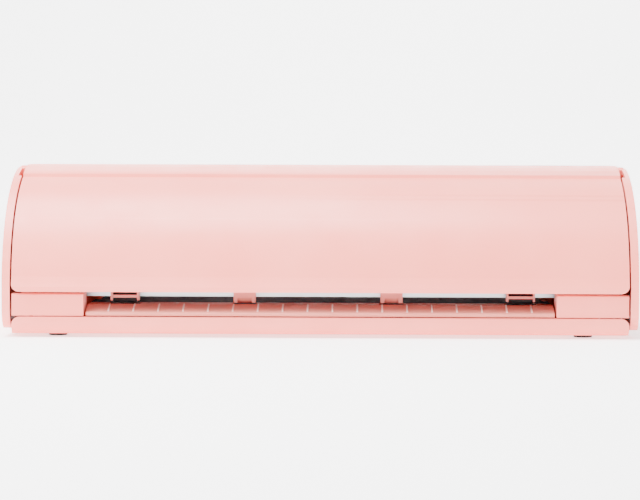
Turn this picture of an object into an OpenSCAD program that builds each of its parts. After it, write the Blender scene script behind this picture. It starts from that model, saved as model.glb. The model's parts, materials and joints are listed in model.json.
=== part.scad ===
// Desktop die cutting machine: a media-feed cutter with a hinged curved lid, a pull-out mat tray,
// a belt-driven tool carriage and a roller feed. X runs along the width, -Y is the front, +Z is up.
// The origin is under the centre of the machine, on the surface that it stands on.

/* [Body] */
// Overall width across the two end cheeks
body_w = 556; // [530:1:680]
// Overall depth, from the lid's lip to the rear cover
body_d = 197; // [185:1:240]
// Height of the crest of the lid above the surface
body_h = 150; // [146:1:182]
// Thickness of one end cheek
cheek_t = 7; // [6:0.5:8]
// Wall thickness of the plastic shells
wall = 2.5; // [2:0.1:3]
// Height of the rubber feet
foot_h = 3; // [2:0.5:4]
/* [Media path] */
// Clear width of the front feed opening
slot_w = 413; // [380:1:430]
// Height of the platen surface
platen_z = 28; // [27.5:0.1:29]
// Radius of the gritted bands on the drive shaft
grit_r = 8; // [7:0.1:8.2]
// Radius of the drive shaft
shaft_r = 4.5; // [3:0.1:5.4]
// Radius of the narrow pinch rollers
pinch_r = 4; // [3.5:0.1:4.5]
// Thickness of media that the pinch rollers leave room for
media_t = 0.3; // [0.3:0.1:0.6]
// Pull-out travel of the mat tray
tray_travel = 120; // [60:1:130]
/* [Carriage] */
// Width of the tool carriage
carriage_w = 62; // [56:1:66]
// Outer radius of a tool barrel
tool_r = 8; // [6:0.1:9.6]
// Radius of the carriage guide rod
rod_r = 4; // [3:0.1:5]
// Depth of the carriage rail, front to back
rail_d = 18; // [16:0.5:22]
// Radius of the belt pulleys
pulley_r = 7; // [6:0.1:8]
/* [Gears] */
// Module of the feed gears
gear_m = 0.9; // [0.75:0.01:1.1]
// Teeth on the drive gear
drive_teeth = 24; // [22:1:26]
// Teeth on the motor pinion
pinion_teeth = 12; // [11:1:13]

/* [Hidden] */
fit = 0.06;          // radial clearance of running fits
gap = 0.5;           // clearance between neighbours that don't touch
seam = 1.5;          // visible seam between the lid and a cheek
fine = 64;           // segments of a round feature
half_w = body_w / 2;
half_d = body_d / 2;
cheek_x = half_w - cheek_t;      // inner face of a cheek
shell_x = cheek_x - seam;        // ends of the lid, tray front and rear cover
frame_t = 2;                     // steel side plates
frame_x = cheek_x - 9;           // inner face of a side plate
frame_out = frame_x + frame_t;
// end profile: a quarter ellipse at the front, an arc at the top of the back
lip_out = 2.5;                   // how far the lid's lip stands in front of the cheeks
mid_y = 40;                      // centre of the ellipse
mid_z = 43;
ell_a = half_d - lip_out + mid_y;
ell_b = body_h - 2 - mid_z;
back_r = 30;
cheek_bottom = foot_h + 4;
pan_t = 2;
pan_top = foot_h + pan_t;

// points of the front ellipse, pulled in by inset, between two angles above horizontal
function front_curve(inset, a0, a1, n) =
    [for (i = [0:n]) let (a = a0 + (a1 - a0) * i / n)
        [mid_y - (ell_a - inset) * cos(a), mid_z + (ell_b - inset) * sin(a)]];
// points of a circular arc
function arc(cy, cz, r, a0, a1, n) =
    [for (i = [0:n]) let (a = a0 + (a1 - a0) * i / n) [cy + r * cos(a), cz + r * sin(a)]];
// angle on the ellipse at a given y or z
function angle_at_y(inset, y) = acos((mid_y - y) / (ell_a - inset));
function angle_at_z(inset, z) = asin((z - mid_z) / (ell_b - inset));

// whole end profile, pulled in by inset
function end_profile(inset) = concat(
    front_curve(inset, 0, 90, 44),
    arc(half_d - back_r, body_h - 2 - back_r, back_r - inset, 90, 0, 10),
    arc(half_d - 15, cheek_bottom + 15, 15 - inset, 0, -90, 6),
    arc(-half_d + lip_out + 18, cheek_bottom + 18, 18 - inset, -90, -180, 8));

// extrudes a (y, z) outline from x0 to x1
module side_extrude(x0, x1) {
    translate([x0, 0, 0]) rotate([90, 0, 90]) linear_extrude(height = x1 - x0) children();
}
module rod_x(x0, x1, y, z, r) {
    translate([x0, y, z]) rotate([0, 90, 0]) cylinder(h = x1 - x0, r = r, $fn = fine);
}
module rod_y(x, y0, y1, z, r) {
    translate([x, y0, z]) rotate([-90, 0, 0]) cylinder(h = y1 - y0, r = r, $fn = fine);
}
module rod_z(x, y, z0, z1, r) {
    translate([x, y, z0]) cylinder(h = z1 - z0, r = r, $fn = fine);
}
module box(lo, hi) {
    translate(lo) cube(hi - lo);
}
module stadium(x0, x1, r) {
    for (x = [x0, x1]) translate([x, 0]) circle(r = r, $fn = fine);
    translate([x0, -r]) square([x1 - x0, 2 * r]);
}

// ---- hinge of the lid
hinge_y = 24;
hinge_z = body_h - 8;
hinge_r = 2.2;
barrel_r = 8;                    // rolled back edge of the lid
barrel_t = 2;
arm_disc_r = 7;
pin_in = 5;                      // length of a hinge pin inside a cheek
// ---- media path
slot_x = slot_w / 2;
table_x = slot_x - 1.5;
table_t = 2;
tray_top = foot_h + 15.1;
fascia_z0 = tray_top + 0.7;
fascia_z1 = 38.5;
fascia_y = -half_d + lip_out + 1.5;
drive_y = -58;
grit_up = 0.4;                   // grit above the platen
drive_z = platen_z + grit_up - grit_r;
pinch_x = [-173, -67, 63, 177];
pinch_wide = [true, false, false, true];
wide_pinch_r = pinch_r + 0.5;
beam_y = [-50, -40];
feed_gap = 5.5;                  // room under the beam for a mat and its media
tooth_top = 0.8;                 // height of a gear tooth above its pitch line, in modules
drive_outer = gear_m * (drive_teeth / 2 + tooth_top);
beam_bottom = max(platen_z + feed_gap, drive_z + drive_outer + 1.5);
beam_z = [beam_bottom, beam_bottom + 12.5];
pinch_rod_y = -45;
pinch_rod_z = beam_z[1] + 5.5;
pinch_rod_r = 3;
function roller_r(i) = pinch_wide[i] ? wide_pinch_r : pinch_r;
function roller_w(i) = pinch_wide[i] ? 20.8 : 11.5;
function roller_z(i) = platen_z + grit_up + media_t + roller_r(i);
function arm_w(i) = pinch_wide[i] ? 25.2 : 19.5;
function ear_r(i) = pinch_wide[i] ? 2.6 : 3.6;
stub_r = 1.5;
// ---- carriage
car_back = 9;                    // faces of the carriage block
car_front = -12;
tool_y = car_front - tool_r - 4;
rail_y = 12;
rail_z = [62, 96];
rail_wall = 2.5;
rod_y0 = -1;
rod_z0 = 106;
park_x = 228;                    // carriage centre at rest
park_shift = (body_w - 556) / 2; // the park bay follows the width
car_x = park_x + park_shift;
tool_dx = 14.5;
tool_x = [car_x - tool_dx, car_x + tool_dx];
lever_pin_y = car_front - 3;
lever_pin_z = 112;
lever_pin_r = 1.2;
tool_z = [35, 101];
belt_y = rail_y + rail_d / 2;
belt_z = [99, 105];
belt_t = 1.2;
pulley_x = car_x + 20;
idler_x = -pulley_x;
belt_gap = 0.3;
// ---- feed gears
drive_pitch = gear_m * drive_teeth / 2;
pinion_pitch = gear_m * pinion_teeth / 2;
motor_y = drive_y + drive_pitch + pinion_pitch;
gear_x0 = -frame_x + 8;
gear_w = 5;
feed_motor_r = drive_pitch + pinion_pitch - shaft_r - 1.5;
// ---- control panel
deck_y = half_d - 42;
panel_x = [190 + park_shift, 262 + park_shift];
panel_d = 26;
button_x = [for (i = [0:3]) panel_x[0] + 11 + 16.5 * i];
button_r = [4.6, 4.6, 4.6, 5.6];
panel_t = 1.5;
panel_z = body_h - 1.3;          // the panel's face is sunk below the deck
press = 0.6;                     // travel of a button
button_up = 1;
// ---- rear slot and ports
rear_slot_x = slot_x - 6;
rear_slot_z = [24, 42];
port_z = 60;
jack_x = 180 + park_shift;
usb_x = 150 + park_shift;
board_y = half_d - 17;

pink = [0.93, 0.70, 0.67];
pink_dark = [0.86, 0.62, 0.59];
steel = [0.62, 0.63, 0.65];
alloy = [0.80, 0.81, 0.82];
black = [0.10, 0.10, 0.11];
grey = [0.45, 0.46, 0.48];
green = [0.10, 0.35, 0.20];
white = [0.88, 0.88, 0.88];

// ================= casing

posts = [[62, 34], [62, 108], [-52, 60]];
module cheek(side) {
    color(pink) difference() {
        union() {
            difference() {
                side_extrude(cheek_x, half_w) polygon(end_profile(0));
                side_extrude(cheek_x - 1, half_w - wall) polygon(end_profile(wall + 1));
            }
            rod_x(cheek_x, half_w - wall, hinge_y, hinge_z, arm_disc_r);
            for (p = posts) rod_x(frame_out, half_w - wall, p[0], p[1], 4.5);
        }
        // blind bore for the lid's hinge pin
        rod_x(cheek_x - 1, cheek_x + pin_in + gap, hinge_y, hinge_z, hinge_r + fit);
        // the rim steps back beside the lid's hinge band
        side_extrude(cheek_x - 1, cheek_x + 3)
            polygon([[-12, hinge_z - 12], [hinge_y - 7, hinge_z - 12], [hinge_y - 7, body_h],
                [-12, body_h]]);
        for (p = posts) rod_x(frame_out - 1, frame_out + 12, p[0], p[1], 1.3);
    }
}
module left_cheek() mirror([1, 0, 0]) cheek();
module right_cheek() cheek();

module side_frame() {
    color(steel) difference() {
        side_extrude(frame_x, frame_out) polygon(concat(
            front_curve(14, 0, 78, 16),
            [[half_d - 20, body_h - 24], [half_d - 8, body_h - 45], [half_d - 8, pan_top],
             [-half_d + 16.5, pan_top]]));
        rod_x(frame_x - 1, frame_out + 1, drive_y, drive_z, shaft_r + 3);
        for (p = posts) rod_x(frame_x - 1, frame_out + 1, p[0], p[1], 1.6);
        // lightening window
        side_extrude(frame_x - 1, frame_out + 1)
            polygon([[36, 46], [76, 46], [76, 92], [36, 92]]);
    }
}
module left_side_frame() mirror([1, 0, 0]) side_frame();
module right_side_frame() side_frame();

module base_pan() {
    color(pink_dark) difference() {
        union() {
            box([-shell_x, -half_d + 16, foot_h], [shell_x, half_d - 3, pan_top]);
            box([-frame_x + gap, half_d - wall - 2, pan_top], [frame_x - gap, half_d - wall, 20]);
        }
        // cooling slots
        for (x = [-8:8]) box([x * 14 - 2, 40, foot_h - 1], [x * 14 + 2, 70, pan_top + 1]);
    }
}
module rubber_feet() {
    color(black) for (x = [-1, 1], y = [-1, 1])
        translate([x * (half_w - 46), y * (half_d - 30) + 4, 0])
            cylinder(h = foot_h, r1 = 8, r2 = 9, $fn = fine);
}
module cheek_screws() {
    color(steel) for (s = [-1, 1], p = posts)
        mirror([s < 0 ? 1 : 0, 0, 0]) {
            rod_x(frame_x - 2, frame_x, p[0], p[1], 3);
            rod_x(frame_x, frame_out + 8, p[0], p[1], 1.2);
        }
}

// fixed cover beside the feed opening
module front_panel() {
    color(pink) difference() {
        union() {
            side_extrude(slot_x, shell_x) polygon(concat(
                [[fascia_y, fascia_z0]],
                [[fascia_y + wall, fascia_z0], [fascia_y + wall, fascia_z1 - wall],
                 [fascia_y + 7.5, fascia_z1 - wall], [fascia_y + 7.5, fascia_z1],
                 [fascia_y + 1.2, fascia_z1], [fascia_y, fascia_z1 - 1.2]]));
            side_extrude(slot_x, frame_x) polygon(
                [[fascia_y + 5, fascia_z1], [fascia_y + 7.5, fascia_z1],
                 [fascia_y + 7.5, 56], [fascia_y + 5, 56]]);
            // tab that seats on the side frame
            box([frame_x - 2, fascia_y + 5, 42], [frame_x, fascia_y + 19, 54]);
            side_extrude(slot_x, slot_x + 2) polygon(
                [[fascia_y + wall, fascia_z0], [-66, fascia_z0], [-66, fascia_z1],
                 [fascia_y + 7.5, fascia_z1], [fascia_y + 7.5, fascia_z1 - wall],
                 [fascia_y + wall, fascia_z1 - wall]]);
        }
    }
}
module front_panel_left() mirror([1, 0, 0]) front_panel();
module front_panel_right() front_panel();

// ---- rear cover: top deck and back wall in one shell
trough_r = barrel_r + 0.8;       // the cover's front edge is hollow round the lid's barrel
trough_t = 2;
trough_a = asin((body_h - wall - hinge_z) / (trough_r + trough_t));
deck_front = hinge_y + barrel_r; // top edge, clear of the lid when it is open
module rear_cover() {
    color(pink) difference() {
        union() {
            side_extrude(-shell_x, shell_x) polygon(concat(
                arc(hinge_y, hinge_z, trough_r, -25, 25, 10),
                [[deck_front + 0.2, body_h - 0.6], [deck_front + 0.8, body_h]],
                arc(half_d - back_r, body_h - back_r, back_r, 90, 0, 14),
                [[half_d, cheek_bottom], [half_d - wall, cheek_bottom]],
                arc(half_d - back_r, body_h - back_r, back_r - wall, 0, 90, 14),
                arc(hinge_y, hinge_z, trough_r + trough_t, trough_a, -25, 8)));
            // board posts
            for (x = [usb_x - 80, jack_x + 20], z = [54, 106])
                rod_y(x, board_y + 1.6, half_d - wall, z, 3);
        }
        box([-rear_slot_x, half_d - wall - 1, rear_slot_z[0]], [rear_slot_x, half_d + 1, rear_slot_z[1]]);
        // window for the control panel
        box([panel_x[0], deck_y - panel_d / 2, body_h - wall - 1],
            [panel_x[1], deck_y + panel_d / 2, body_h + 1]);
        rod_y(jack_x, half_d - wall - 1, half_d + 1, port_z, 5);
        box([usb_x - 6.5, half_d - wall - 1, port_z - 6], [usb_x + 6.5, half_d + 1, port_z + 6]);
        // vents
        for (i = [0:9]) box([-60 - 7 * i, half_d - wall - 1, 70], [-57 - 7 * i, half_d + 1, 100]);
    }
}
module control_panel() {
    color(grey) difference() {
        union() {
            box([panel_x[0] + 0.1, deck_y - panel_d / 2 + 0.1, body_h - wall - panel_t],
                [panel_x[1] - 0.1, deck_y + panel_d / 2 - 0.1, panel_z]);
            box([panel_x[0] - 2, deck_y - panel_d / 2 - 2, body_h - wall - panel_t],
                [panel_x[1] + 2, deck_y + panel_d / 2 - 1, body_h - wall]);
        }
        for (i = [0:3])
            rod_z(button_x[i], deck_y, body_h - wall - panel_t - 1, body_h + 1, button_r[i] + 0.3);
    }
}
module button(i) {
    under = body_h - wall - panel_t - press - 0.3;
    color(white) {
        rod_z(button_x[i], deck_y, under, panel_z + button_up, button_r[i]);
        rod_z(button_x[i], deck_y, under - 1.2, under, button_r[i] + 1);
    }
}
module main_board() {
    color(green) difference() {
        box([usb_x - 88, board_y, 48], [jack_x + 28, board_y + 1.6, 112]);
        for (x = [usb_x - 80, jack_x + 20], z = [54, 106]) rod_y(x, board_y - 1, board_y + 3, z, 1.6);
    }
    color(black) {
        box([usb_x - 50, board_y - 2, 70], [usb_x - 30, board_y, 90]);
        for (i = [0:2]) rod_y(usb_x + 4 + 14 * i, board_y - 12, board_y, 98, 5);
        for (i = [0:3]) box([usb_x - 20 + 13 * i, board_y - 6, 50], [usb_x - 11 + 13 * i, board_y, 58]);
    }
}
module power_jack() {
    color(black) difference() {
        union() {
            rod_y(jack_x, board_y + 1.6, half_d - 1, port_z, 4.8);
            box([jack_x - 5, board_y + 1.6, port_z - 6.5], [jack_x + 5, half_d - wall - 0.3, port_z]);
        }
        rod_y(jack_x, half_d - 10, half_d + 1, port_z, 3.2);
    }
    color(steel) rod_y(jack_x, half_d - 10, half_d - 3, port_z, 1);
}
module usb_port() {
    color(steel) difference() {
        box([usb_x - 6, board_y + 1.6, port_z - 5.5], [usb_x + 6, half_d - 0.8, port_z + 5.5]);
        box([usb_x - 5, board_y + 6, port_z - 4.5], [usb_x + 5, half_d + 1, port_z + 4.5]);
    }
    color(black) box([usb_x - 2.8, board_y + 6, port_z - 1.6], [usb_x + 2.8, half_d - 2, port_z + 1.6]);
}

// ================= lid

lip_top = 50;          // the lip flares out from here
lip_z = 40;            // lower edge of the lip
corner_r = 7;          // lower corners of the lid, upper corners of the tray
band_y = -12;          // where the raised hinge band starts
function lid_outer() = concat(
    [[-half_d + 0.7, lip_z], [-half_d, lip_z + 0.8], [-half_d, lip_z + 4.2],
     [-half_d + 0.6, lip_z + 5.4], [-half_d + 1.8, lip_z + 7.6], [-half_d + 2.8, lip_top]],
    front_curve(1, angle_at_z(1, lip_top + 3), angle_at_y(1, band_y), 40),
    [[band_y + 0.8, body_h - 8.2], [0, body_h - 4.4], [10, body_h - 1.8], [20, body_h - 0.2]],
    arc(hinge_y, hinge_z, barrel_r, 90, -20, 14));
function lid_inner() = concat(
    arc(hinge_y, hinge_z, barrel_r - barrel_t, -20, 90, 14),
    [[12, body_h - 4], [0, body_h - 7]],
    [for (p = front_curve(1 + wall, angle_at_y(1 + wall, -10), angle_at_z(1 + wall, lip_top), 40)) p],
    [[-half_d + 4.6, lip_z + 6], [-half_d + 4.6, lip_z]]);
module lid_shell() {
    color(pink) difference() {
        union() {
            side_extrude(-shell_x, shell_x) polygon(concat(lid_outer(), lid_inner()));
            for (s = [0, 1]) mirror([s, 0, 0]) {
                // end web that stiffens the lid and carries its hinge
                side_extrude(shell_x - wall, shell_x) polygon(concat(
                    [for (p = front_curve(2, angle_at_z(2, lip_top), angle_at_y(2, 6), 20)) p],
                    [for (p = front_curve(11, angle_at_y(11, 6), angle_at_z(11, lip_top), 20)) p]));
                side_extrude(shell_x - wall, shell_x) polygon(
                    [[-4, body_h - 7], [12, body_h - 3.4], [hinge_y, body_h - 1.5],
                     [hinge_y, hinge_z - arm_disc_r + 0.5], [-8, hinge_z - 12]]);
                rod_x(shell_x - wall, shell_x, hinge_y, hinge_z, arm_disc_r);
            }
        }
        for (s = [0, 1]) mirror([s, 0, 0]) {
            rod_x(shell_x - wall - 1, shell_x + 1, hinge_y, hinge_z, hinge_r);
            // rounded lower corners
            translate([shell_x - corner_r, -half_d + 16, lip_z + corner_r]) rotate([90, 0, 0])
                linear_extrude(height = 18) difference() {
                    translate([0, -corner_r - 1]) square(corner_r + 1);
                    circle(r = corner_r, $fn = fine);
                }
        }
    }
}
module lid_hinge_pins() {
    color(steel) for (s = [0, 1]) mirror([s, 0, 0])
        rod_x(shell_x - wall, cheek_x + pin_in, hinge_y, hinge_z, hinge_r);
}

// ================= pull-out mat tray

bed_x = slot_x - 3.5;
bed_z = [pan_top + 0.6, pan_top + 3.6];
bed_back = tray_travel - 46;
runner_top = bed_z[1] + 2.4;
module tray_bed() {
    color(pink_dark) {
        box([-bed_x, -half_d + 12, bed_z[0]], [bed_x, bed_back, bed_z[1] - 1.5]);
        for (i = [-9:9]) box([i * 21.5 - 0.7, -half_d + 12, bed_z[1] - 1.5],
            [i * 21.5 + 0.7, bed_back - 8, bed_z[1] - 0.4]);
    }
}
tray_y = -half_d + 2;
module tray_front() {
    r = corner_r;
    color(pink) intersection() {
        // side section with an undercut chin
        side_extrude(-shell_x, shell_x) polygon(concat(
            arc(tray_y + 13, foot_h + 11, 13, -138, -180, 8),
            arc(tray_y + 1.5, tray_top - 1.5, 1.5, 180, 90, 4),
            [[tray_y + 6, tray_top], [tray_y + 6, bed_z[1] + 1], [-half_d + 12, bed_z[1] + 1],
             [-half_d + 12, foot_h + 0.2], [tray_y + 6.5, foot_h + 0.2]]));
        // front outline with rounded upper corners
        translate([0, half_d, 0]) rotate([90, 0, 0]) linear_extrude(height = body_d) union() {
            translate([-shell_x, 0]) square([2 * shell_x, tray_top - r]);
            translate([-shell_x + r, 0]) square([2 * (shell_x - r), tray_top]);
            for (s = [-1, 1]) translate([s * (shell_x - r), tray_top - r]) circle(r = r, $fn = fine);
        }
    }
}
module tray_runners() {
    color(grey) for (s = [0, 1]) mirror([s, 0, 0]) {
        box([bed_x + 0.5, -half_d + 18, pan_top], [bed_x + 5, 60, runner_top]);
        box([bed_x - 5, -half_d + 18, bed_z[1] + 0.5], [bed_x + 0.5, 60, runner_top]);
    }
}

// ================= media path

rib_step = 21.8;
rib_h = 1;
rib_w = 1.2;
grit_slot = 1.5;
table_back = -8;
table_front = -half_d + 6.5;
ramp_y = -72;                    // the ramp ends at the platen here
ramp_drop = platen_z - fascia_z0 - 3.7;
function table_top(y) =
    y < ramp_y ? platen_z - ramp_drop * (ramp_y - y) / (ramp_y - table_front - 1.6) : platen_z;
module feed_table() {
    front = table_front;
    color(pink) difference() {
        union() {
            side_extrude(-table_x, table_x) polygon(
                [[front, fascia_z0], [front, fascia_z0 + 2], [front + 0.5, fascia_z0 + 3],
                 [front + 1.4, table_top(front + 1.6)], [ramp_y - 2, table_top(ramp_y - 1.5)],
                 [ramp_y, platen_z], [table_back, platen_z], [table_back, platen_z - table_t],
                 [ramp_y + 1, platen_z - table_t], [front + 2.5, fascia_z0 + 1], [front + 2.5, fascia_z0]]);
            // thin ribs up the ramp
            for (x = [-8.5:8.5]) side_extrude(x * rib_step - rib_w / 2, x * rib_step + rib_w / 2) polygon(
                [[front + 1.2, table_top(front + 1) - 1], [front + 3, table_top(front + 3) + rib_h],
                 [ramp_y, platen_z + rib_h - 0.4], [ramp_y + 3, platen_z], [ramp_y + 3, platen_z - 1]]);
            // side flanges down to the frame level
            for (s = [0, 1]) mirror([s, 0, 0])
                box([table_x - 2, -48, runner_top], [table_x, table_back, platen_z - table_t / 2]);
        }
        rod_x(-table_x - 1, table_x + 1, drive_y, drive_z, shaft_r + 0.6);
        for (i = [0:3]) let (w = arm_w(i) / 2 + grit_slot)
            box([pinch_x[i] - w, drive_y - grit_r - 0.6, platen_z - 6],
                [pinch_x[i] + w, drive_y + grit_r + 0.6, platen_z + 3]);
        // groove for the cutting strip
        box([-table_x - 1, tool_y - 3, platen_z - 0.7], [table_x + 1, tool_y + 3, platen_z + 1]);
    }
}
module cutting_strip() {
    color(black) box([-table_x + 1, tool_y - 2.8, platen_z - 0.7],
        [table_x - 1, tool_y + 2.8, platen_z + 0.05]);
}
module rear_table() {
    back = half_d - wall - 1;
    color(pink_dark) {
        side_extrude(-rear_slot_x, rear_slot_x) polygon(
            [[table_back + 0.5, platen_z], [60, platen_z], [back, rear_slot_z[0] + 0.5],
             [back, rear_slot_z[0] - 2], [59, platen_z - table_t], [table_back + 0.5, platen_z - table_t]]);
        for (i = [-8:8]) side_extrude(i * rib_step - 0.5, i * rib_step + 0.5)
            polygon([[2, platen_z - 0.5], [4, platen_z + 0.6], [58, platen_z + 0.6], [60, platen_z - 0.5]]);
        for (s = [0, 1]) mirror([s, 0, 0])
            box([rear_slot_x - 2, 0, runner_top], [rear_slot_x, 56, platen_z - table_t / 2]);
    }
}
module pinch_beam() {
    color(alloy) difference() {
        box([-frame_x, beam_y[0], beam_z[0]], [frame_x, beam_y[1], beam_z[1]]);
        // long groove in the front face
        box([-frame_x - 1, beam_y[0] - 1, beam_z[0] + 4], [frame_x + 1, beam_y[0] + 1.5, beam_z[0] + 8]);
    }
}
module pinch_rod() {
    color(steel) rod_x(-frame_x, frame_x, pinch_rod_y, pinch_rod_z, pinch_rod_r);
}
// arm that holds one pinch roller in front of the beam
module pinch_arm(i) {
    x = pinch_x[i];
    w = arm_w(i) / 2;
    ear = (arm_w(i) - roller_w(i)) / 2 - 0.4;
    z = roller_z(i);
    front = drive_y - roller_r(i) - 2.4;
    apron_top = pinch_wide[i] ? 41 : 38;
    apron_low = pinch_wide[i] ? 0 : 0.6;
    color(pink) difference() {
        union() {
            rod_x(x - w, x + w, pinch_rod_y, pinch_rod_z, pinch_rod_r + 2);
            // plate that hangs in front of the beam, and the apron or bar in front of the roller
            box([x - w, drive_y, z + 2.8], [x + w, beam_y[0] - 1.2, pinch_rod_z + 3]);
            box([x - w, front, apron_top], [x + w, drive_y + 1, apron_top + 3]);
            box([x - w, front, z + apron_low], [x + w, front + 1.6, pinch_wide[i] ? z + 2.4 : apron_top + 1]);
            box([x - w, beam_y[0] - 1.3, pinch_rod_z - 3], [x + w, pinch_rod_y, pinch_rod_z + 3]);
            for (s = [0, 1]) let (x0 = s == 0 ? x - w : x + w - ear) {
                box([x0, front, z - ear_r(i) + 1], [x0 + ear, drive_y + 5, apron_top + 3]);
                box([x0, front + 1, z - ear_r(i)], [x0 + ear, drive_y + 3, z]);
            }
        }
        rod_x(x - w - 1, x + w + 1, pinch_rod_y, pinch_rod_z, pinch_rod_r + fit);
        rod_x(x - w + 0.8, x + w - 0.8, drive_y, z, stub_r + fit);
        // room for the roller
        rod_x(x - roller_w(i) / 2 - 0.4, x + roller_w(i) / 2 + 0.4, drive_y, z, roller_r(i) + 0.6);
    }
}
module pinch_roller(i) {
    x = pinch_x[i];
    color(pinch_wide[i] ? grey : pink_dark) {
        rod_x(x - roller_w(i) / 2, x + roller_w(i) / 2, drive_y, roller_z(i), roller_r(i));
        rod_x(x - arm_w(i) / 2 + 1.2, x + arm_w(i) / 2 - 1.2, drive_y, roller_z(i), stub_r);
    }
}
lever_x = -frame_x + 14;
lever_len = 34;
module release_lever() {
    color(grey) difference() {
        union() {
            rod_x(lever_x, lever_x + 8, pinch_rod_y, pinch_rod_z, pinch_rod_r + 2);
            box([lever_x + 1.5, pinch_rod_y - 3, pinch_rod_z],
                [lever_x + 6.5, pinch_rod_y + 3, pinch_rod_z + lever_len]);
            rod_x(lever_x - 2, lever_x + 10, pinch_rod_y, pinch_rod_z + lever_len, 4.5);
        }
        rod_x(lever_x - 1, lever_x + 9, pinch_rod_y, pinch_rod_z, pinch_rod_r + fit);
    }
}

// ================= feed drive

module drive_shaft() {
    color(steel) rod_x(-frame_out - 3, frame_out + 3, drive_y, drive_z, shaft_r);
}
module grit_bands() {
    color(grey) for (i = [0:3]) difference() {
        rod_x(pinch_x[i] - arm_w(i) / 2, pinch_x[i] + arm_w(i) / 2, drive_y, drive_z, grit_r);
        rod_x(pinch_x[i] - arm_w(i), pinch_x[i] + arm_w(i), drive_y, drive_z, shaft_r);
    }
}
module drive_bearings() {
    color(white) for (s = [0, 1]) mirror([s, 0, 0]) difference() {
        union() {
            rod_x(frame_x, frame_out, drive_y, drive_z, shaft_r + 3);
            rod_x(frame_x - 2, frame_x, drive_y, drive_z, shaft_r + 5);
        }
        rod_x(frame_x - 3, frame_out + 1, drive_y, drive_z, shaft_r + fit);
    }
}
// involute gear outline
pressure = 20;
function involute(a) = tan(a) * 180 / PI - a;
function flank(r, rb, half) = half + involute(pressure) - (r > rb ? involute(acos(rb / r)) : 0);
module gear_2d(teeth, slack) {
    rp = gear_m * teeth / 2;
    rb = rp * cos(pressure);
    ra = rp + tooth_top * gear_m;
    rf = rp - 1.15 * gear_m;
    half = 90 / teeth - slack / rp * 90 / PI;
    steps = 5;
    polygon([for (t = [0:teeth - 1]) each concat(
        [for (i = [0:steps]) let (r = rf + (ra - rf) * i / steps, a = 360 / teeth * t - flank(r, rb, half))
            [r * cos(a), r * sin(a)]],
        [for (i = [steps:-1:0]) let (r = rf + (ra - rf) * i / steps, a = 360 / teeth * t + flank(r, rb, half))
            [r * cos(a), r * sin(a)]])]);
}
tooth_slack = 0.3;
module drive_gear() {
    color(white) translate([gear_x0, drive_y, drive_z]) rotate([90, 0, 90]) linear_extrude(height = gear_w)
        difference() {
            gear_2d(drive_teeth, tooth_slack);
            circle(r = shaft_r, $fn = fine);
        }
}
motor_front = gear_x0 + gear_w + 1.5;
module feed_pinion() {
    color(steel) translate([0, motor_y, drive_z]) {
        // a tooth gap faces the drive gear
        translate([gear_x0, 0, 0]) rotate([90, 0, 90]) linear_extrude(height = gear_w)
            rotate(pinion_teeth % 2 == 0 ? 180 / pinion_teeth : 0) gear_2d(pinion_teeth, tooth_slack);
        rod_x(gear_x0 + gear_w, motor_front + 6, 0, 0, 2);
    }
}
module feed_motor_bracket() {
    color(steel) difference() {
        union() {
            box([motor_front, drive_y + shaft_r + 3, pan_top], [motor_front + 2, motor_y + 16, 33]);
            box([motor_front + 2, motor_y + 4, pan_top], [motor_front + 14, motor_y + 16, pan_top + 2]);
        }
        rod_x(motor_front - 1, motor_front + 3, motor_y, drive_z, 2 + gap);
    }
}
module feed_motor() {
    color(grey) difference() {
        rod_x(motor_front + 2, motor_front + 34, motor_y, drive_z, feed_motor_r);
        rod_x(motor_front + 1, motor_front + 7, motor_y, drive_z, 2 + gap);
    }
    color(black) rod_x(motor_front + 34, motor_front + 36, motor_y, drive_z, feed_motor_r - 3);
}

// ================= carriage

module carriage_rail() {
    color(alloy) difference() {
        box([-frame_x, rail_y, rail_z[0]], [frame_x, rail_y + rail_d, rail_z[1]]);
        box([-frame_x - 1, rail_y + rail_wall, rail_z[0] + rail_wall],
            [frame_x + 1, rail_y + rail_d - rail_wall, rail_z[1] - rail_wall]);
        // guide groove that the carriage's shoe runs in
        box([-frame_x - 1, rail_y - 1, 72], [frame_x + 1, rail_y + 1.5, 76]);
    }
}
module guide_rod() {
    color(steel) rod_x(-frame_x, frame_x, rod_y0, rod_z0, rod_r);
}
module carriage_block() {
    x0 = car_x - carriage_w / 2;
    x1 = car_x + carriage_w / 2;
    color(pink) difference() {
        union() {
            box([x0, car_front, 56], [x1, car_back, 116]);
            // shoe in the rail's groove, and the jaw beside the belt
            box([x0 + 10, car_back, 72.5], [x1 - 10, rail_y + 1, 75.5]);
            box([car_x - 8, car_back, 100], [car_x + 8, belt_y - pulley_r - belt_gap - belt_t - 0.3, 104]);
            // ears that the lock levers turn on
            for (s = [-1, 1]) for (e = [-1, 1])
                box([car_x + s * tool_dx + e * 6.5 - 1.5, car_front - 5, 108],
                    [car_x + s * tool_dx + e * 6.5 + 1.5, car_front, 116]);
        }
        rod_x(x0 - 1, x1 + 1, rod_y0, rod_z0, rod_r + 2);
        // slideways of the tool holders
        for (x = tool_x) box([x - 4.2, car_front - 1, 58], [x + 4.2, car_front + 4.2, 104]);
        for (x = tool_x) rod_x(x - 9, x + 9, lever_pin_y, lever_pin_z, lever_pin_r + fit);
    }
}
module carriage_bushes() {
    color(white) for (s = [-1, 1]) let (x = car_x + s * (carriage_w / 2 - 6)) difference() {
        rod_x(x - 5, x + 5, rod_y0, rod_z0, rod_r + 2);
        rod_x(car_x - carriage_w, car_x + carriage_w, rod_y0, rod_z0, rod_r + fit);
    }
}
ring_z = [70, 94];
module tool_holder(s) {
    x = car_x + s * tool_dx;
    color(grey) difference() {
        union() {
            rod_z(x, tool_y, ring_z[0], ring_z[1], tool_r + 3);
            box([x - 3.8, tool_y + tool_r, ring_z[0]], [x + 3.8, car_front + 3.9, ring_z[1]]);
        }
        rod_z(x, tool_y, ring_z[0] - 1, ring_z[1] + 1, tool_r);
    }
}
module tool_holder_1() tool_holder(-1);
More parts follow.
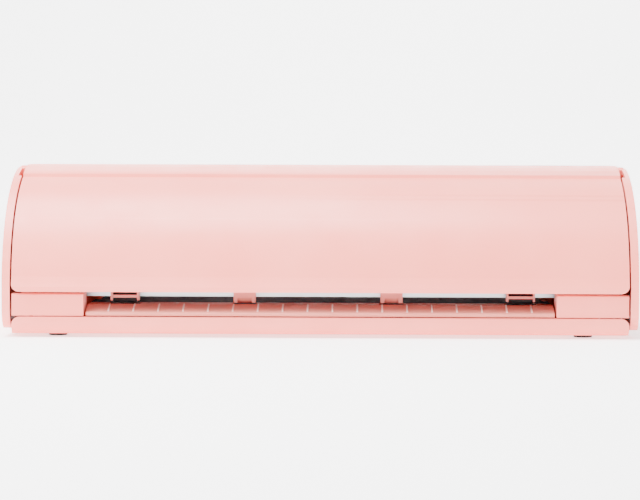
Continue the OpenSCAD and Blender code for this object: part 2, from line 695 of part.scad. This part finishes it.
module tool_holder_2() tool_holder(1);
module blade_cartridge() {
    x = car_x - tool_dx;
    color([0.85, 0.86, 0.88]) {
        rod_z(x, tool_y, 44, tool_z[1], tool_r);
        rod_z(x, tool_y, 38, 44, tool_r - 2);
    }
    color(steel) translate([x, tool_y, tool_z[0]]) cylinder(h = 3, r1 = 0.6, r2 = 2.5, $fn = fine);
}
module tool_adapter() {
    x = car_x + tool_dx;
    color(white) difference() {
        union() {
            rod_z(x, tool_y, 62, tool_z[1], tool_r);
            rod_z(x, tool_y, ring_z[1], ring_z[1] + 3, tool_r + 2);
        }
        rod_z(x, tool_y, 61, tool_z[1] + 1, tool_r - 2.5);
    }
}
module lock_lever(s) {
    x = car_x + s * tool_dx;
    color(pink_dark) {
        rod_x(x - 4.8, x + 4.8, lever_pin_y, lever_pin_z, 2 * lever_pin_r);
        rod_x(x - 7.8, x + 7.8, lever_pin_y, lever_pin_z, lever_pin_r);
        box([x - 4.8, tool_y - 8, lever_pin_z], [x + 4.8, lever_pin_y, lever_pin_z + 2.4]);
    }
}
module lock_lever_1() lock_lever(-1);
module lock_lever_2() lock_lever(1);

// ---- belt drive of the carriage
module drive_belt() {
    color(black) translate([0, belt_y, belt_z[0]])
        linear_extrude(height = belt_z[1] - belt_z[0]) difference() {
            stadium(idler_x, pulley_x, pulley_r + belt_gap + belt_t);
            stadium(idler_x, pulley_x, pulley_r + belt_gap);
        }
}
module drive_pulley() {
    color(steel) {
        rod_z(pulley_x, belt_y, belt_z[0] - 0.4, belt_z[1] + 0.4, pulley_r);
        rod_z(pulley_x, belt_y, belt_z[1] + 0.4, 112, 1.5);
    }
}
module idler_pulley() {
    color(white) difference() {
        rod_z(idler_x, belt_y, belt_z[0] - 0.4, belt_z[1] + 0.4, pulley_r);
        rod_z(idler_x, belt_y, belt_z[0] - 1, belt_z[1] + 1, 2 + fit);
    }
}
module idler_bracket() {
    color(steel) {
        box([idler_x - 9, belt_y - 7, rail_z[1]], [idler_x + 9, belt_y + 7, rail_z[1] + 1.8]);
        rod_z(idler_x, belt_y, rail_z[1] + 1.8, belt_z[1] + 2, 2);
        rod_z(idler_x, belt_y, belt_z[1] + 0.9, belt_z[1] + 2.4, 4);
    }
}
module carriage_motor_bracket() {
    color(steel) difference() {
        box([pulley_x - 14, car_back + 2, 107], [frame_x, belt_y + 13, 109]);
        rod_z(pulley_x, belt_y, 106, 110, 2.5);
    }
}
module carriage_motor() {
    color(grey) difference() {
        rod_z(pulley_x, belt_y, 109, 130, 11);
        rod_z(pulley_x, belt_y, 108, 114, 2.5);
    }
    color(black) rod_z(pulley_x, belt_y, 130, 131.5, 8);
}

base_pan();
left_cheek();
right_cheek();
left_side_frame();
right_side_frame();
front_panel_left();
front_panel_right();
feed_table();
cutting_strip();
rear_table();
rear_cover();
control_panel();
pinch_beam();
pinch_rod();
carriage_rail();
guide_rod();
drive_belt();
carriage_motor();
carriage_motor_bracket();
idler_bracket();
feed_motor();
feed_motor_bracket();
drive_bearings();
main_board();
power_jack();
usb_port();
tray_runners();
rubber_feet();
cheek_screws();
lid_shell();
lid_hinge_pins();
tray_bed();
tray_front();
carriage_block();
carriage_bushes();
tool_holder_1();
blade_cartridge();
lock_lever_1();
tool_holder_2();
tool_adapter();
lock_lever_2();
drive_shaft();
grit_bands();
drive_gear();
feed_pinion();
drive_pulley();
idler_pulley();
release_lever();
pinch_arm(0);  // pinch_arm_1
pinch_arm(1);  // pinch_arm_2
pinch_arm(2);  // pinch_arm_3
pinch_arm(3);  // pinch_arm_4
pinch_roller(0);  // pinch_roller_1
pinch_roller(1);  // pinch_roller_2
pinch_roller(2);  // pinch_roller_3
pinch_roller(3);  // pinch_roller_4
button(0);  // feed_back_button
button(1);  // feed_forward_button
button(2);  // pause_button
button(3);  // power_button
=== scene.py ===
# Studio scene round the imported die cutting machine: materials, button signs, floor, lights, camera.
# All lengths are in metres unless a comment says otherwise.
import json
import math

import bmesh
import bpy
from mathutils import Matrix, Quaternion, Vector


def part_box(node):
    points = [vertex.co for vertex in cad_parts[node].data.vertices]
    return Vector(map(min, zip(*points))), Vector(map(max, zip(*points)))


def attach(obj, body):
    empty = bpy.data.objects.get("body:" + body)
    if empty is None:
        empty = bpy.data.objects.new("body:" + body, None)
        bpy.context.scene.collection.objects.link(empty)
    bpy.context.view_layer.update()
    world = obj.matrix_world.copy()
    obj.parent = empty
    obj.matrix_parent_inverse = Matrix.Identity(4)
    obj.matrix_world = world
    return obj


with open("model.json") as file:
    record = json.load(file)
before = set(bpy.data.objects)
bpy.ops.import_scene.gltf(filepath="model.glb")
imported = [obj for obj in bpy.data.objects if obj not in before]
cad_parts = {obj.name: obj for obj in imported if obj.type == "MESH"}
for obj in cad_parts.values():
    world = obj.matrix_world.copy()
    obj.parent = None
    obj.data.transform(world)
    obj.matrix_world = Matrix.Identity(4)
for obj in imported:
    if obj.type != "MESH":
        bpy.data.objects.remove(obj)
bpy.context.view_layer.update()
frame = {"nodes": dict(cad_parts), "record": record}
nodes = frame["nodes"]


# ---------------------------------------------------------------- node helpers
def new_material(name):
    m = bpy.data.materials.new(name)
    m.use_nodes = True
    t = m.node_tree
    bsdf = t.nodes["Principled BSDF"]
    return m, t, bsdf


def coords(t, scale=(1, 1, 1)):
    """Object coordinates, stretched by scale."""
    tc = t.nodes.new("ShaderNodeTexCoord")
    mp = t.nodes.new("ShaderNodeMapping")
    mp.inputs["Scale"].default_value = scale
    t.links.new(tc.outputs["Object"], mp.inputs["Vector"])
    return mp.outputs["Vector"]


def noise(t, vec, scale, detail=4.0, rough=0.55):
    n = t.nodes.new("ShaderNodeTexNoise")
    n.inputs["Scale"].default_value = scale
    n.inputs["Detail"].default_value = detail
    n.inputs["Roughness"].default_value = rough
    t.links.new(vec, n.inputs["Vector"])
    return n.outputs["Fac"]


def spread(t, fac, lo, hi, a=0.35, b=0.65):
    """fac from a to b becomes lo to hi."""
    r = t.nodes.new("ShaderNodeMapRange")
    r.inputs["From Min"].default_value = a
    r.inputs["From Max"].default_value = b
    r.inputs["To Min"].default_value = lo
    r.inputs["To Max"].default_value = hi
    t.links.new(fac, r.inputs["Value"])
    return r.outputs["Result"]


def multiply(t, a, b):
    n = t.nodes.new("ShaderNodeMath")
    n.operation = "MULTIPLY"
    t.links.new(a, n.inputs[0])
    t.links.new(b, n.inputs[1])
    return n.outputs["Value"]


def blend_colours(t, fac, ca, cb, a=0.35, b=0.65):
    """Colour ca where fac is below a, cb above b."""
    r = t.nodes.new("ShaderNodeValToRGB")
    r.color_ramp.elements[0].position = a
    r.color_ramp.elements[0].color = (*ca, 1)
    r.color_ramp.elements[1].position = b
    r.color_ramp.elements[1].color = (*cb, 1)
    t.links.new(fac, r.inputs["Fac"])
    return r.outputs["Color"]


def bump(t, bsdf, height, strength, distance):
    b = t.nodes.new("ShaderNodeBump")
    b.inputs["Strength"].default_value = strength
    b.inputs["Distance"].default_value = distance
    t.links.new(height, b.inputs["Height"])
    t.links.new(b.outputs["Normal"], bsdf.inputs["Normal"])


def srgb(r, g, b):
    """Linear colour of an 8-bit display colour."""
    def lin(c):
        c = c / 255.0
        return c / 12.92 if c <= 0.04045 else ((c + 0.055) / 1.055) ** 2.4
    return (lin(r), lin(g), lin(b))


def plastic(name, ca, cb, rough, grain, grain_strength, specular=0.5):
    """Moulded plastic: slow colour drift, a fine spark-eroded grain and slight gloss variation."""
    m, t, bsdf = new_material(name)
    v = coords(t)
    slow = noise(t, v, 9.0, 3.0)
    t.links.new(blend_colours(t, slow, ca, cb), bsdf.inputs["Base Color"])
    smudge = noise(t, v, 45.0, 6.0, 0.6)
    t.links.new(spread(t, smudge, rough[0], rough[1]), bsdf.inputs["Roughness"])
    bump(t, bsdf, noise(t, v, grain, 2.0), grain_strength, 0.00004)
    bsdf.inputs["IOR"].default_value = 1.49
    bsdf.inputs["Specular IOR Level"].default_value = specular
    return m


def metal(name, ca, cb, rough, stretch, grain=900.0, strength=0.2):
    """Metal with a drawn or brushed direction given by the stretch of the noise."""
    m, t, bsdf = new_material(name)
    v = coords(t, stretch)
    streak = noise(t, v, grain, 4.0, 0.6)
    t.links.new(blend_colours(t, streak, ca, cb), bsdf.inputs["Base Color"])
    t.links.new(spread(t, streak, rough[0], rough[1]), bsdf.inputs["Roughness"])
    bump(t, bsdf, streak, strength, 0.00003)
    bsdf.inputs["Metallic"].default_value = 1.0
    return m


def rubber(name, ca, cb):
    """Dull rubber with a fine rough grain."""
    m, t, bsdf = new_material(name)
    v = coords(t)
    t.links.new(blend_colours(t, noise(t, v, 160.0, 5.0), ca, cb), bsdf.inputs["Base Color"])
    t.links.new(spread(t, noise(t, v, 90.0, 4.0), 0.6, 0.85), bsdf.inputs["Roughness"])
    bump(t, bsdf, noise(t, v, 1800.0, 3.0), 0.3, 0.00006)
    bsdf.inputs["Specular IOR Level"].default_value = 0.35
    return m


def ribbed(name, ca, cb, wave_scale, direction):
    """Rubber with evenly pitched ridges, as on a timing belt."""
    m, t, bsdf = new_material(name)
    v = coords(t)
    w = t.nodes.new("ShaderNodeTexWave")
    w.wave_type = "BANDS"
    w.bands_direction = direction
    w.inputs["Scale"].default_value = wave_scale
    w.inputs["Distortion"].default_value = 0.0
    t.links.new(v, w.inputs["Vector"])
    t.links.new(blend_colours(t, w.outputs["Fac"], ca, cb, 0.3, 0.7), bsdf.inputs["Base Color"])
    t.links.new(spread(t, noise(t, v, 300.0), 0.55, 0.8), bsdf.inputs["Roughness"])
    bump(t, bsdf, w.outputs["Fac"], 0.8, 0.0004)
    return m


def grit_steel(name):
    """Steel with coarse grit bonded to it."""
    m, t, bsdf = new_material(name)
    v = coords(t)
    vo = t.nodes.new("ShaderNodeTexVoronoi")
    vo.inputs["Scale"].default_value = 1400.0
    t.links.new(v, vo.inputs["Vector"])
    t.links.new(blend_colours(t, vo.outputs["Distance"], srgb(70, 70, 72), srgb(135, 135, 138), 0.1, 0.6),
                bsdf.inputs["Base Color"])
    t.links.new(spread(t, noise(t, v, 700.0), 0.5, 0.75), bsdf.inputs["Roughness"])
    bump(t, bsdf, vo.outputs["Distance"], 0.8, 0.00025)
    bsdf.inputs["Metallic"].default_value = 0.6
    return m


def circuit(name):
    """Green board with paler copper lanes."""
    m, t, bsdf = new_material(name)
    v = coords(t)
    br = t.nodes.new("ShaderNodeTexBrick")
    br.inputs["Scale"].default_value = 260.0
    br.inputs["Mortar Size"].default_value = 0.035
    br.inputs["Color1"].default_value = (*srgb(18, 84, 52), 1)
    br.inputs["Color2"].default_value = (*srgb(12, 66, 42), 1)
    br.inputs["Mortar"].default_value = (*srgb(60, 140, 92), 1)
    swap = t.nodes.new("ShaderNodeMapping")
    swap.inputs["Rotation"].default_value = (math.radians(90), 0, 0)
    t.links.new(v, swap.inputs["Vector"])
    t.links.new(swap.outputs["Vector"], br.inputs["Vector"])
    t.links.new(br.outputs["Color"], bsdf.inputs["Base Color"])
    t.links.new(spread(t, noise(t, v, 200.0), 0.35, 0.5), bsdf.inputs["Roughness"])
    bump(t, bsdf, br.outputs["Fac"], 0.3, 0.0001)
    return m


RIB_STEP = 0.0218                       # pitch of the feed ramp's ribs
RAMP_START, RAMP_END = -0.0905, -0.069  # y of the ribs' ends
PAINTED_SHADE_Y = -0.045                      # painted shade: the table is coloured dark brown from this y backwards


def painted_light_table(name, front_a, front_b, shade_a, shade_b, crest_highlight):
    """Feed table: moulded pink ramp in front, painted shade behind, where the table is coloured dark brown
    for the shade inside the machine, and painted highlights on the ramp's rib crests.
    """
    m, t, bsdf = new_material(name)
    v = coords(t)
    slow = noise(t, v, 14.0, 4.0)
    sep = t.nodes.new("ShaderNodeSeparateXYZ")
    t.links.new(v, sep.inputs["Vector"])
    # painted shade: behind this y the table takes the dark brown shade colours and a rougher finish
    shade_zone = spread(t, sep.outputs["Y"], 0.0, 1.0, PAINTED_SHADE_Y - 0.0015, PAINTED_SHADE_Y + 0.0015)
    mix = t.nodes.new("ShaderNodeMix")
    mix.data_type = "RGBA"
    t.links.new(shade_zone, mix.inputs["Factor"])
    # painted highlight: the crests of the moulded ribs on the ramp are coloured paler, standing in for the
    # light they catch
    fold = t.nodes.new("ShaderNodeMath")
    fold.operation = "PINGPONG"
    fold.inputs[1].default_value = RIB_STEP / 2
    t.links.new(sep.outputs["X"], fold.inputs[0])
    on_rib = spread(t, fold.outputs["Value"], 0.0, 1.0, RIB_STEP / 2 - 0.0008, RIB_STEP / 2 - 0.0006)
    on_ramp = spread(t, sep.outputs["Y"], 1.0, 0.0, RAMP_END - 0.001, RAMP_END)
    off_lip = spread(t, sep.outputs["Y"], 0.0, 1.0, RAMP_START, RAMP_START + 0.001)
    crest_highlight_mask = multiply(t, multiply(t, on_rib, on_ramp), off_lip)
    crest_highlight_mix = t.nodes.new("ShaderNodeMix")
    crest_highlight_mix.data_type = "RGBA"
    crest_highlight_mix.inputs[7].default_value = (*crest_highlight, 1)
    t.links.new(crest_highlight_mask, crest_highlight_mix.inputs["Factor"])
    t.links.new(blend_colours(t, slow, front_a, front_b), crest_highlight_mix.inputs[6])
    t.links.new(crest_highlight_mix.outputs[2], mix.inputs[6])
    t.links.new(blend_colours(t, slow, shade_a, shade_b), mix.inputs[7])
    t.links.new(mix.outputs[2], bsdf.inputs["Base Color"])
    t.links.new(spread(t, shade_zone, 0.5, 0.9, 0.0, 1.0), bsdf.inputs["Roughness"])
    bsdf.inputs["Specular IOR Level"].default_value = 0.2
    bump(t, bsdf, noise(t, v, 1500.0, 3.0), 0.15, 0.00005)
    return m


shell_pink = plastic("shell_pink", srgb(250, 136, 122), srgb(247, 128, 115), (0.3, 0.4), 2400.0, 0.05)
trim_pink = plastic("trim_pink", srgb(247, 130, 116), srgb(243, 122, 109), (0.36, 0.48), 1800.0, 0.10)
# feed table: pink ramp, painted shade in dark brown behind it, painted highlight on the rib crests
feed_table_painted_light = painted_light_table("feed_table_painted_light", srgb(228, 140, 125), srgb(221, 132, 117),
                           srgb(72, 42, 36), srgb(84, 50, 43), srgb(255, 214, 206))
# painted shade: the rear table is coloured dark brown for the shade deep inside the machine
painted_shade_brown = plastic("painted_shade_brown", srgb(64, 38, 33), srgb(76, 46, 40), (0.75, 0.9), 1500.0, 0.15,
                       specular=0.12)
table_pink = plastic("table_pink", srgb(222, 160, 149), srgb(214, 150, 139), (0.38, 0.5), 1500.0, 0.15)
grey_plastic = plastic("grey_plastic", srgb(118, 118, 124), srgb(106, 106, 112), (0.4, 0.55), 1500.0, 0.2)
panel_grey = plastic("panel_grey", srgb(66, 64, 67), srgb(56, 54, 57), (0.3, 0.42), 1800.0, 0.1)
white_plastic = plastic("white_plastic", srgb(236, 234, 232), srgb(226, 224, 222), (0.32, 0.45), 1700.0, 0.1)
black_plastic = plastic("black_plastic", srgb(26, 26, 28), srgb(34, 34, 37), (0.35, 0.5), 1700.0, 0.2)
steel_plate = metal("steel_plate", srgb(118, 120, 124), srgb(150, 152, 156), (0.3, 0.45), (1, 1, 0.04))
round_steel = metal("round_steel", srgb(190, 192, 196), srgb(215, 216, 220), (0.14, 0.24), (0.05, 1, 1),
                    700.0, 0.08)
alloy = metal("alloy", srgb(196, 197, 200), srgb(222, 222, 225), (0.28, 0.4), (0.03, 1, 1), 800.0, 0.15)
motor_metal = metal("motor_metal", srgb(64, 66, 70), srgb(82, 84, 88), (0.4, 0.55), (1, 1, 1), 500.0, 0.15)
icon_grey = plastic("icon_grey", srgb(70, 68, 72), srgb(60, 58, 62), (0.4, 0.5), 1800.0, 0.1)
rubber_black = rubber("rubber_black", srgb(24, 24, 25), srgb(34, 33, 34))
roller_dark = rubber("roller_dark", srgb(38, 30, 29), srgb(50, 40, 38))
roller_pink = rubber("roller_pink", srgb(240, 128, 114), srgb(234, 120, 106))
belt_rubber = ribbed("belt_rubber", srgb(18, 18, 19), srgb(40, 40, 42), 80.0, "X")
grit = grit_steel("grit")
board = circuit("board")

by_slot = {
    "pink_shell": shell_pink, "pink_table": table_pink, "steel_plate": steel_plate,
    "polished_steel": round_steel, "aluminium": alloy, "motor_metal": motor_metal,
    "black_rubber": rubber_black, "grey_plastic": grey_plastic, "white_plastic": white_plastic,
    "black_plastic": black_plastic, "circuit_board": board, "grit": grit,
}
special = {
    "front_panel_left": trim_pink, "front_panel_right": trim_pink, "tray_front": trim_pink,
    "control_panel": panel_grey, "drive_belt": belt_rubber,
    "pinch_roller_1": roller_dark, "pinch_roller_2": roller_pink,
    "pinch_roller_3": roller_pink, "pinch_roller_4": roller_dark,
    "feed_table": feed_table_painted_light, "rear_table": painted_shade_brown,
    "pinch_arm_1": trim_pink, "pinch_arm_2": trim_pink,
    "pinch_arm_3": trim_pink, "pinch_arm_4": trim_pink,
    "carriage_block": trim_pink, "lock_lever_1": trim_pink, "lock_lever_2": trim_pink,
    "base_pan": trim_pink,
}
slot_of = {s["node"]: s["material_slot"] for s in frame["record"]["subparts"]}

# rounding of moulded edges
PLAIN_ROUND = 0.00025
WELD_DISTANCE = 0.000002
edge_round = {
    "lid_shell": 0.0007, "left_cheek": 0.0009, "right_cheek": 0.0009, "rear_cover": 0.0006,
    "front_panel_left": 0.0006, "front_panel_right": 0.0006, "tray_front": 0.0006,
    "feed_table": 0.0003, "rear_table": 0.0003, "base_pan": 0.0004, "carriage_block": 0.0008,
    "release_lever": 0.0006, "tool_holder_1": 0.0006, "tool_holder_2": 0.0006, "control_panel": 0.0002,
}
for name, obj in nodes.items():
    material = special.get(name, by_slot[slot_of[name]])
    if not obj.material_slots:
        obj.data.materials.append(material)
    for slot in obj.material_slots:
        slot.material = material
    weld = obj.modifiers.new("weld", "WELD")
    weld.merge_threshold = WELD_DISTANCE
    bevel = obj.modifiers.new("edges", "BEVEL")
    bevel.width = edge_round.get(name, PLAIN_ROUND)
    bevel.segments = 2
    bevel.limit_method = "ANGLE"
    bevel.angle_limit = math.radians(32)
    bevel.use_clamp_overlap = True
    bevel.harden_normals = True


# ---------------------------------------------------------------- button signs
SIGN_HALF = 0.0002    # a sign reaches this far above and below the button's face


def icon(name, body, outlines):
    """Raised sign on a button: flat prisms with outlines in millimetres from the button's centre."""
    lo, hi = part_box(body)
    cx, cy, top = (lo[0] + hi[0]) / 2, (lo[1] + hi[1]) / 2, hi[2]
    bm = bmesh.new()
    for outline in outlines:
        low = [bm.verts.new((cx + x / 1000, cy + y / 1000, top - SIGN_HALF)) for x, y in outline]
        high = [bm.verts.new((v.co.x, v.co.y, top + SIGN_HALF)) for v in low]
        bm.faces.new(high)
        bm.faces.new(list(reversed(low)))
        for i in range(len(low)):
            j = (i + 1) % len(low)
            bm.faces.new((low[i], low[j], high[j], high[i]))
    me = bpy.data.meshes.new(name)
    bm.to_mesh(me)
    bm.free()
    me.materials.append(icon_grey)
    ob = bpy.data.objects.new(name, me)
    bpy.context.scene.collection.objects.link(ob)
    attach(ob, body)


def bar(x0, y0, x1, y1):
    return [(x0, y0), (x1, y0), (x1, y1), (x0, y1)]


def ring_parts(r0, r1, a0, a1, count):
    """An open ring as short wedge pieces that share their ends."""
    step = (a1 - a0) / count
    parts = []
    for i in range(count):
        u, v = math.radians(a0 + i * step), math.radians(a0 + (i + 1) * step)
        parts.append([(r0 * math.cos(u), r0 * math.sin(u)), (r1 * math.cos(u), r1 * math.sin(u)),
                      (r1 * math.cos(v), r1 * math.sin(v)), (r0 * math.cos(v), r0 * math.sin(v))])
    return parts


icon("icon_feed_back", "feed_back_button", [[(-2.2, -1.4), (2.2, -1.4), (0, 1.8)]])
icon("icon_feed_forward", "feed_forward_button", [[(-2.2, 1.4), (0, -1.8), (2.2, 1.4)]])
icon("icon_pause", "pause_button", [bar(-1.5, -1.9, -0.5, 1.9), bar(0.5, -1.9, 1.5, 1.9)])
icon("icon_power", "power_button", ring_parts(1.9, 2.6, 125, 415, 16) + [bar(-0.35, 0.6, 0.35, 3.0)])


# ---------------------------------------------------------------- stage
def make_stage():
    """Floor that curves up into a plain backdrop behind the object."""
    bm = bmesh.new()
    bend_y, bend_r = 5.0, 1.5     # far enough back for a camera behind the object
    profile = [(-14.0, 0.0), (bend_y, 0.0)]
    profile += [(bend_y + bend_r * math.sin(a), bend_r - bend_r * math.cos(a)) for a in
                [math.radians(5 * i) for i in range(1, 19)]]
    profile += [(bend_y + bend_r, 7.0)]
    rows = []
    for x in (-14.0, 14.0):
        rows.append([bm.verts.new((x, y, z)) for y, z in profile])
    for i in range(len(profile) - 1):
        bm.faces.new((rows[0][i], rows[1][i], rows[1][i + 1], rows[0][i + 1]))
    me = bpy.data.meshes.new("studio_floor")
    bm.to_mesh(me)
    bm.free()
    for p in me.polygons:
        p.use_smooth = True
    ob = bpy.data.objects.new("studio_floor", me)
    bpy.context.scene.collection.objects.link(ob)
    m, t, bsdf = new_material("studio_white")
    bsdf.inputs["Emission Color"].default_value = (1, 1, 1, 1)
    bsdf.inputs["Emission Strength"].default_value = 1.5
    v = coords(t)
    t.links.new(blend_colours(t, noise(t, v, 2.0, 2.0), (0.93, 0.93, 0.93), (0.95, 0.95, 0.95)),
                bsdf.inputs["Base Color"])
    bsdf.inputs["Roughness"].default_value = 0.9
    me.materials.append(m)


make_stage()

world = bpy.data.worlds.new("studio")
bpy.context.scene.world = world
world.use_nodes = True
world.node_tree.nodes["Background"].inputs["Color"].default_value = (1, 1, 1, 1)
world.node_tree.nodes["Background"].inputs["Strength"].default_value = 1.4


def area(name, loc, aim, size, energy):
    """Square soft light at loc that points at aim."""
    li = bpy.data.lights.new(name, "AREA")
    li.energy = energy
    li.size = size
    ob = bpy.data.objects.new(name, li)
    ob.location = loc
    ob.rotation_euler = (Vector(aim) - Vector(loc)).to_track_quat("-Z", "Y").to_euler()
    bpy.context.scene.collection.objects.link(ob)


area("key", (-1.7, -1.3, 1.9), (0, 0, 0.08), 1.3, 165.0)
area("fill", (1.6, -1.8, 0.7), (0, 0, 0.08), 1.6, 4.0)
area("top", (-0.4, -0.1, 1.8), (0, 0, 0.1), 1.2, 100.0)
area("backdrop", (0, 3.6, 3.4), (0, 6.3, 0.8), 3.0, 420.0)

# ---------------------------------------------------------------- camera
target = Vector((0.0, -0.0975, 0.0774))
az, el, dist = math.radians(0.7), math.radians(2.5), 2.2
roll = math.radians(0.19)
eye = target + dist * Vector((math.sin(az) * math.cos(el), -math.cos(az) * math.cos(el), math.sin(el)))
cam = bpy.data.cameras.new("camera")
cam.lens = 142.2
cam.sensor_width = 36.0
cam.clip_start = 0.05
cam.clip_end = 50.0
cam_ob = bpy.data.objects.new("camera", cam)
cam_ob.location = eye
turn = (target - eye).to_track_quat("-Z", "Y") @ Quaternion((0, 0, 1), roll)
cam_ob.rotation_mode = "QUATERNION"
cam_ob.rotation_quaternion = turn
bpy.context.scene.collection.objects.link(cam_ob)
bpy.context.scene.camera = cam_ob
